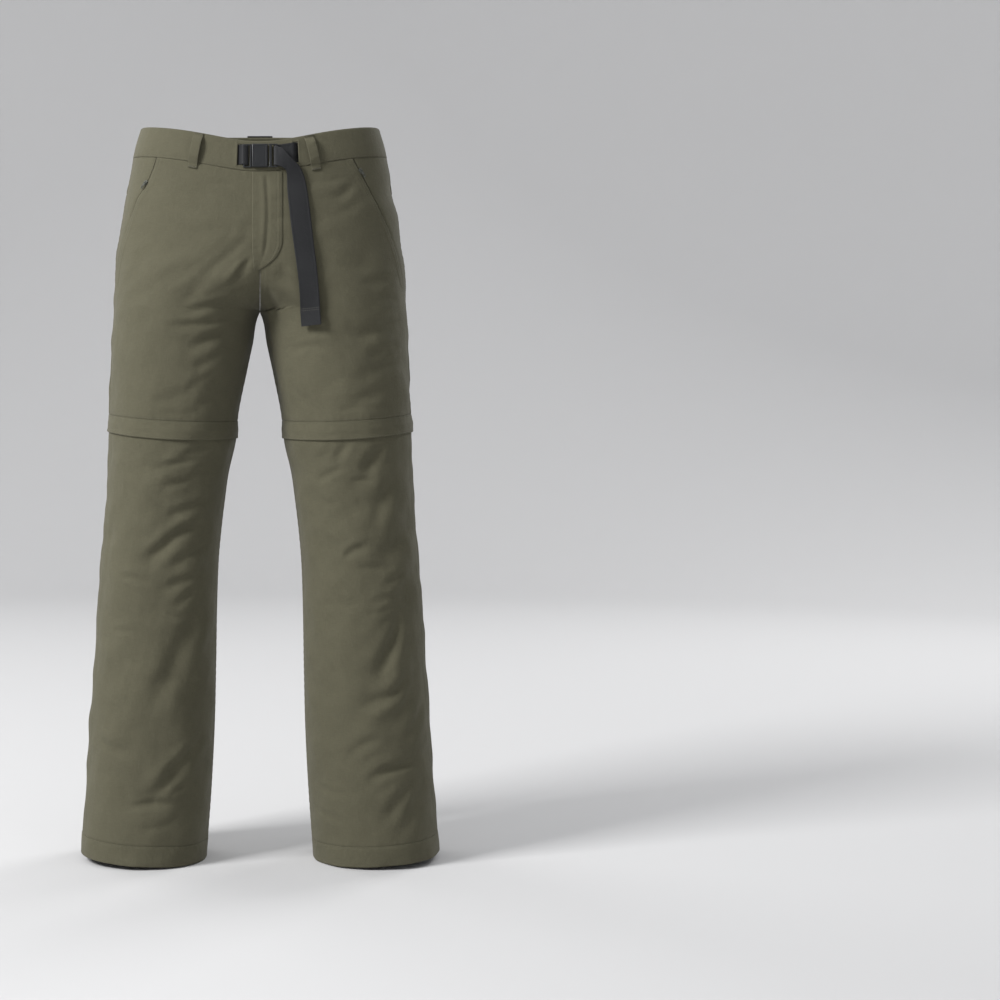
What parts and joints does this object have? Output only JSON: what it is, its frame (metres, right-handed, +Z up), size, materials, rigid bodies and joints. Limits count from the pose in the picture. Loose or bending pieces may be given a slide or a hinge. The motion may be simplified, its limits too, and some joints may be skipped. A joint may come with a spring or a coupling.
{
  "type": "convertible zip-off trousers",
  "caption": "Olive hiking trousers with zip-off lower legs under knee flaps, a webbing belt with a plastic buckle, slanted zip pockets and an ankle zip, standing open as worn.",
  "frame": {"origin": "centre of the waistband ring, where a wearer's waist holds the trousers", "axes": "+Z up through the open waist, -Y out of the front, +X to the wearer's left"},
  "size_m": [0.5084, 0.2431, 1.0353],
  "materials": {
    "olive_canvas": "matt olive cotton blend in a fine plain weave, topstitched",
    "zip_tape": "dark olive woven zip tape with coil teeth",
    "belt_webbing": "dark navy woven webbing",
    "buckle_plastic": "moulded black plastic, satin",
    "zip_metal": "dark painted zip slider and pull"
  },
  "bodies": {
    "trousers": {"front_right": "olive_canvas", "front_left": "olive_canvas", "back_right": "olive_canvas", "back_left": "olive_canvas", "yoke_right": "olive_canvas", "yoke_left": "olive_canvas", "pocket_facing_right": "olive_canvas", "pocket_facing_left": "olive_canvas", "lower_front_right": "olive_canvas", "lower_front_left": "olive_canvas", "lower_back_right": "olive_canvas", "lower_back_left": "olive_canvas", "knee_flap_right": "olive_canvas", "knee_flap_left": "olive_canvas", "hem_right": "olive_canvas", "hem_left": "olive_canvas", "waistband": "olive_canvas", "fly": "olive_canvas", "back_welt_right": "olive_canvas", "back_welt_left": "olive_canvas", "belt_loop_front_right": "olive_canvas", "belt_loop_front_left": "olive_canvas", "belt_loop_side_right": "olive_canvas", "belt_loop_side_left": "olive_canvas", "belt_loop_back_right": "olive_canvas", "belt_loop_back_left": "olive_canvas", "pocket_zip_right": "zip_tape", "pocket_zip_left": "zip_tape", "knee_zip_right": "zip_tape", "knee_zip_left": "zip_tape", "ankle_zip": "zip_tape", "belt_back_patch": "belt_webbing", "belt_right": "belt_webbing", "belt_left": "belt_webbing", "belt_tail": "belt_webbing", "buckle_strap_bar": "buckle_plastic", "buckle_plate": "buckle_plastic", "buckle_ladder": "buckle_plastic", "pocket_right_slider": "zip_metal", "pocket_left_slider": "zip_metal", "ankle_slider": "zip_metal"},
    "pocket_right_tab": {"pocket_right_pull": "zip_metal"},
    "pocket_left_tab": {"pocket_left_pull": "zip_metal"},
    "ankle_tab": {"ankle_pull": "zip_metal"}
  },
  "joints": [
    {"name": "pocket_right_swing", "type": "hinge", "parent": "trousers", "child": "pocket_right_tab", "pos_m": [-0.15909, -0.06786, -0.05419], "axis": [-0.5545, 0.5893, 0.5875], "range_deg": [0, 150]},
    {"name": "pocket_left_swing", "type": "hinge", "parent": "trousers", "child": "pocket_left_tab", "pos_m": [0.13956, -0.07931, -0.03896], "axis": [-0.7095, -0.4872, -0.5091], "range_deg": [0, 150]},
    {"name": "ankle_swing", "type": "hinge", "parent": "trousers", "child": "ankle_tab", "pos_m": [-0.23441, 0.06102, -0.96773], "axis": [0.648, 0.7611, -0.0273], "range_deg": [0, 150]}
  ]
}
